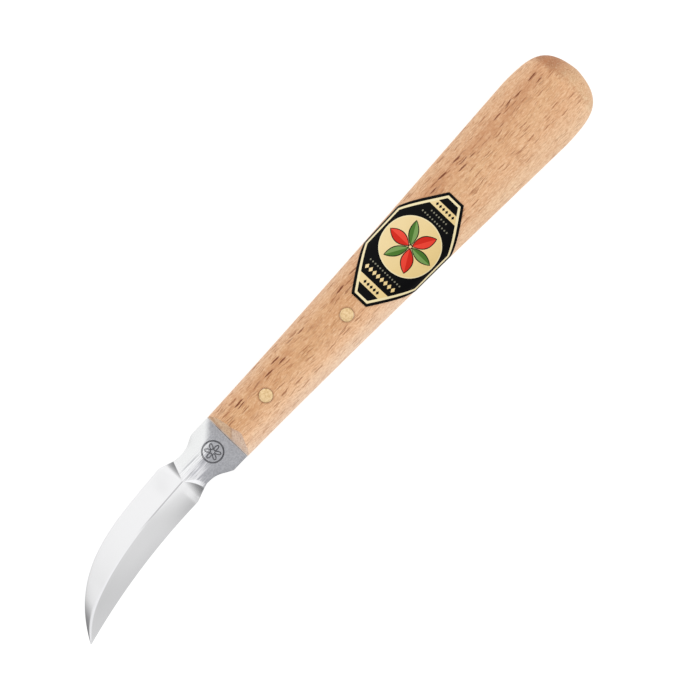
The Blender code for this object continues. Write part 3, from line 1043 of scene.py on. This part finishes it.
def floor_material():
    """White paper, lit a little from itself so that it stays white; unseen from below."""
    g = Graph("paper_floor")
    grain = g.noise((0.06, 0.06, 0.06))
    g.set(Base_Color=g.blend(grain, (0.34, 0.34, 0.34), (0.36, 0.36, 0.36)), Roughness=0.9)
    g.set(Emission_Color=(1.0, 1.0, 1.0), Emission_Strength=0.75)
    clear = g.tree.nodes.new("ShaderNodeBsdfTransparent")
    facing = g.tree.nodes.new("ShaderNodeNewGeometry")
    either = g.tree.nodes.new("ShaderNodeMixShader")
    g.tree.links.new(facing.outputs["Backfacing"], either.inputs[0])
    g.tree.links.new(g.shader.outputs[0], either.inputs[1])
    g.tree.links.new(clear.outputs[0], either.inputs[2])
    g.tree.links.new(either.outputs[0], g.tree.nodes["Material Output"].inputs["Surface"])
    return g.material


# Each ink's own colour, then the paler colour of its painted sheen on the back's side.
INK_COLOURS = {
    "black": ((3, 3, 5), (9, 9, 11)),
    "pale": ((230, 214, 168), (238, 224, 182)),
    "cream": ((221, 192, 126), (236, 214, 166)),
    "red": ((218, 52, 36), (234, 82, 66)),
    "dark_red": ((196, 36, 24), (208, 46, 32)),
    "green": ((110, 146, 78), (124, 158, 92)),
    "dark_green": ((66, 108, 40), (78, 120, 50)),
    "grey": ((120, 118, 100), (140, 138, 118)),
}


# ---------------------------------------------------------------- stage

VIEW_CENTRE = (FRONT_X - 32.3 * MM, 6.31 * MM)
VIEW_WIDTH = 153.6 * MM
VIEW_ROLL = radians(46.415)
CAMERA_HEIGHT = 1500 * MM
STUDIO_LEVEL = 1.2
KEY_POWER = 3.0
SENSOR = 36.0


def make_camera():
    """Straight down on the knife, rolled so that the tip points to the lower left."""
    data = bpy.data.cameras.new("camera")
    data.sensor_width = SENSOR
    data.lens = SENSOR * CAMERA_HEIGHT / VIEW_WIDTH
    camera = bpy.data.objects.new("camera", data)
    bpy.context.scene.collection.objects.link(camera)
    right = Vector((-cos(VIEW_ROLL), sin(VIEW_ROLL), 0.0))
    up = Vector((-sin(VIEW_ROLL), -cos(VIEW_ROLL), 0.0))
    turn = Matrix((right, up, Vector((0.0, 0.0, 1.0)))).transposed().to_4x4()
    place = Matrix.Translation((*VIEW_CENTRE, MID_Z + CAMERA_HEIGHT))
    camera.matrix_world = place @ turn
    data.clip_start = 0.05
    data.clip_end = 10.0
    bpy.context.scene.camera = camera


def make_world():
    """A white studio, dimmer towards +Y and dark towards +X."""
    world = bpy.data.worlds.new("studio")
    bpy.context.scene.world = world
    world.use_nodes = True
    nodes, links = world.node_tree.nodes, world.node_tree.links
    axes = nodes.new("ShaderNodeSeparateXYZ")
    links.new(nodes.new("ShaderNodeTexCoord").outputs["Generated"], axes.inputs[0])
    level = nodes.new("ShaderNodeValue").outputs[0]
    level.default_value = STUDIO_LEVEL
    for axis, kind, low, high, far in (
        ("Y", "SMOOTHSTEP", 0.12, 0.36, 0.85),
        ("Y", "SMOOTHSTEP", 0.36, 0.95, 0.62),
        ("X", "LINEAR", 0.12, 1.0, 0.31),
    ):
        step = nodes.new("ShaderNodeMapRange")
        step.interpolation_type = kind
        links.new(axes.outputs[axis], step.inputs["Value"])
        for name, setting in (("From Min", low), ("From Max", high), ("To Min", 1.0), ("To Max", far)):
            step.inputs[name].default_value = setting
        product = nodes.new("ShaderNodeMath")
        product.operation = "MULTIPLY"
        links.new(step.outputs["Result"], product.inputs[0])
        links.new(level, product.inputs[1])
        level = product.outputs[0]
    links.new(level, nodes["Background"].inputs["Strength"])
    nodes["Background"].inputs["Color"].default_value = (1.0, 1.0, 1.0, 1.0)


def make_key():
    """A broad soft light from over the cutting edge's side, kept out of the steel."""
    data = bpy.data.lights.new("key", "AREA")
    data.shape = "DISK"
    data.size = 0.9
    data.energy = KEY_POWER
    key = bpy.data.objects.new("key", data)
    key.location = (-0.25, 0.8, 1.1)
    key.rotation_mode = "QUATERNION"
    key.rotation_quaternion = Vector(key.location).to_track_quat("Z", "Y")
    key.visible_glossy = False
    bpy.context.scene.collection.objects.link(key)


def make_floor():
    bm = bmesh.new()
    bmesh.ops.create_grid(bm, x_segments=8, y_segments=8, size=3.0)
    floor = link("floor", bm)
    floor.data.materials.append(floor_material())


handle = make_handle()
handle.data.materials.append(beech_material())
blade = make_blade()
blade.data.materials.append(steel_material())
brass = brass_material()
for pin_node in PIN_NODES:
    make_pin(pin_node).data.materials.append(brass)
label = make_label()
for ink_name in INKS:
    label.data.materials.append(ink_material(ink_name, *INK_COLOURS[ink_name]))

make_floor()
make_world()
make_key()
make_camera()
bpy.context.scene.view_settings.view_transform = "Standard"
